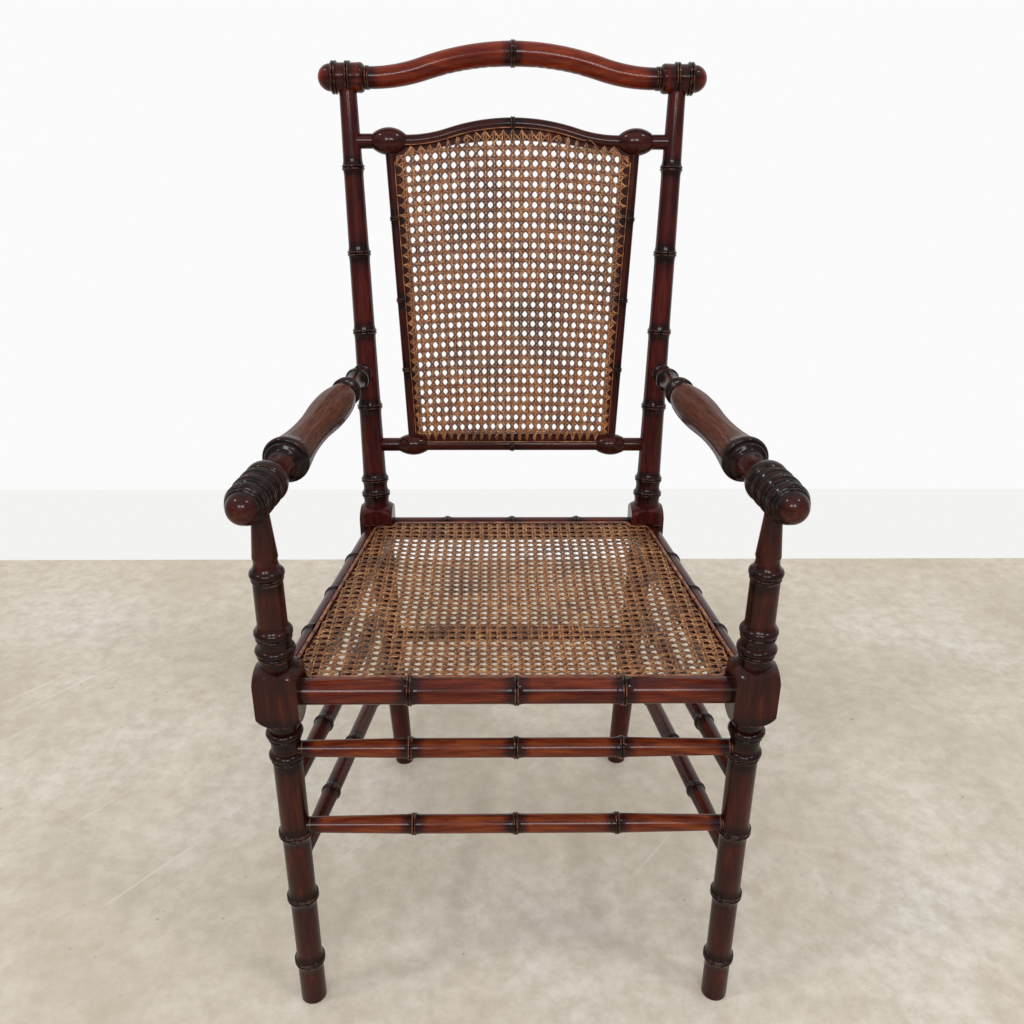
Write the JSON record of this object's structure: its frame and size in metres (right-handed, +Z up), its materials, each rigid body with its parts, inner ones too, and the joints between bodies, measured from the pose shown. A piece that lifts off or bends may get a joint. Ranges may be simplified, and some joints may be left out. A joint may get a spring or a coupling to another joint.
{
  "type": "cane armchair",
  "caption": "Armchair in dark polished wood turned to look like bamboo, with a woven cane seat and back panel, ball-ended arms and a wavy crest rail.",
  "frame": {"origin": "on the floor, under the middle of the chair's overall width and depth", "axes": "+Z up, the front of the chair faces -Y, +X to the right as seen from the front"},
  "size_m": [0.5432, 0.5601, 1.0741],
  "materials": {
    "dark_wood": "dark red-brown mahogany, french polished to a gloss",
    "cane": "aged orange-brown rattan cane, satin",
    "cane_binder": "darker aged rattan strip, satin"
  },
  "bodies": {
    "root": {"arm_left": "dark_wood", "arm_right": "dark_wood", "back_bottom_rail": "dark_wood", "back_cane": "cane", "back_stile_left": "dark_wood", "back_stile_right": "dark_wood", "back_top_rail": "dark_wood", "crest_rail": "dark_wood", "front_leg_left": "dark_wood", "front_leg_right": "dark_wood", "front_seat_rail": "dark_wood", "lower_front_stretcher": "dark_wood", "lower_side_stretcher_left": "dark_wood", "lower_side_stretcher_right": "dark_wood", "rear_post_left": "dark_wood", "rear_post_right": "dark_wood", "rear_seat_rail": "dark_wood", "rear_stretcher": "dark_wood", "seat_binder": "cane_binder", "seat_cane": "cane", "side_seat_rail_left": "dark_wood", "side_seat_rail_right": "dark_wood", "upper_front_stretcher": "dark_wood", "upper_side_stretcher_left": "dark_wood", "upper_side_stretcher_right": "dark_wood"}
  },
  "joints": []
}
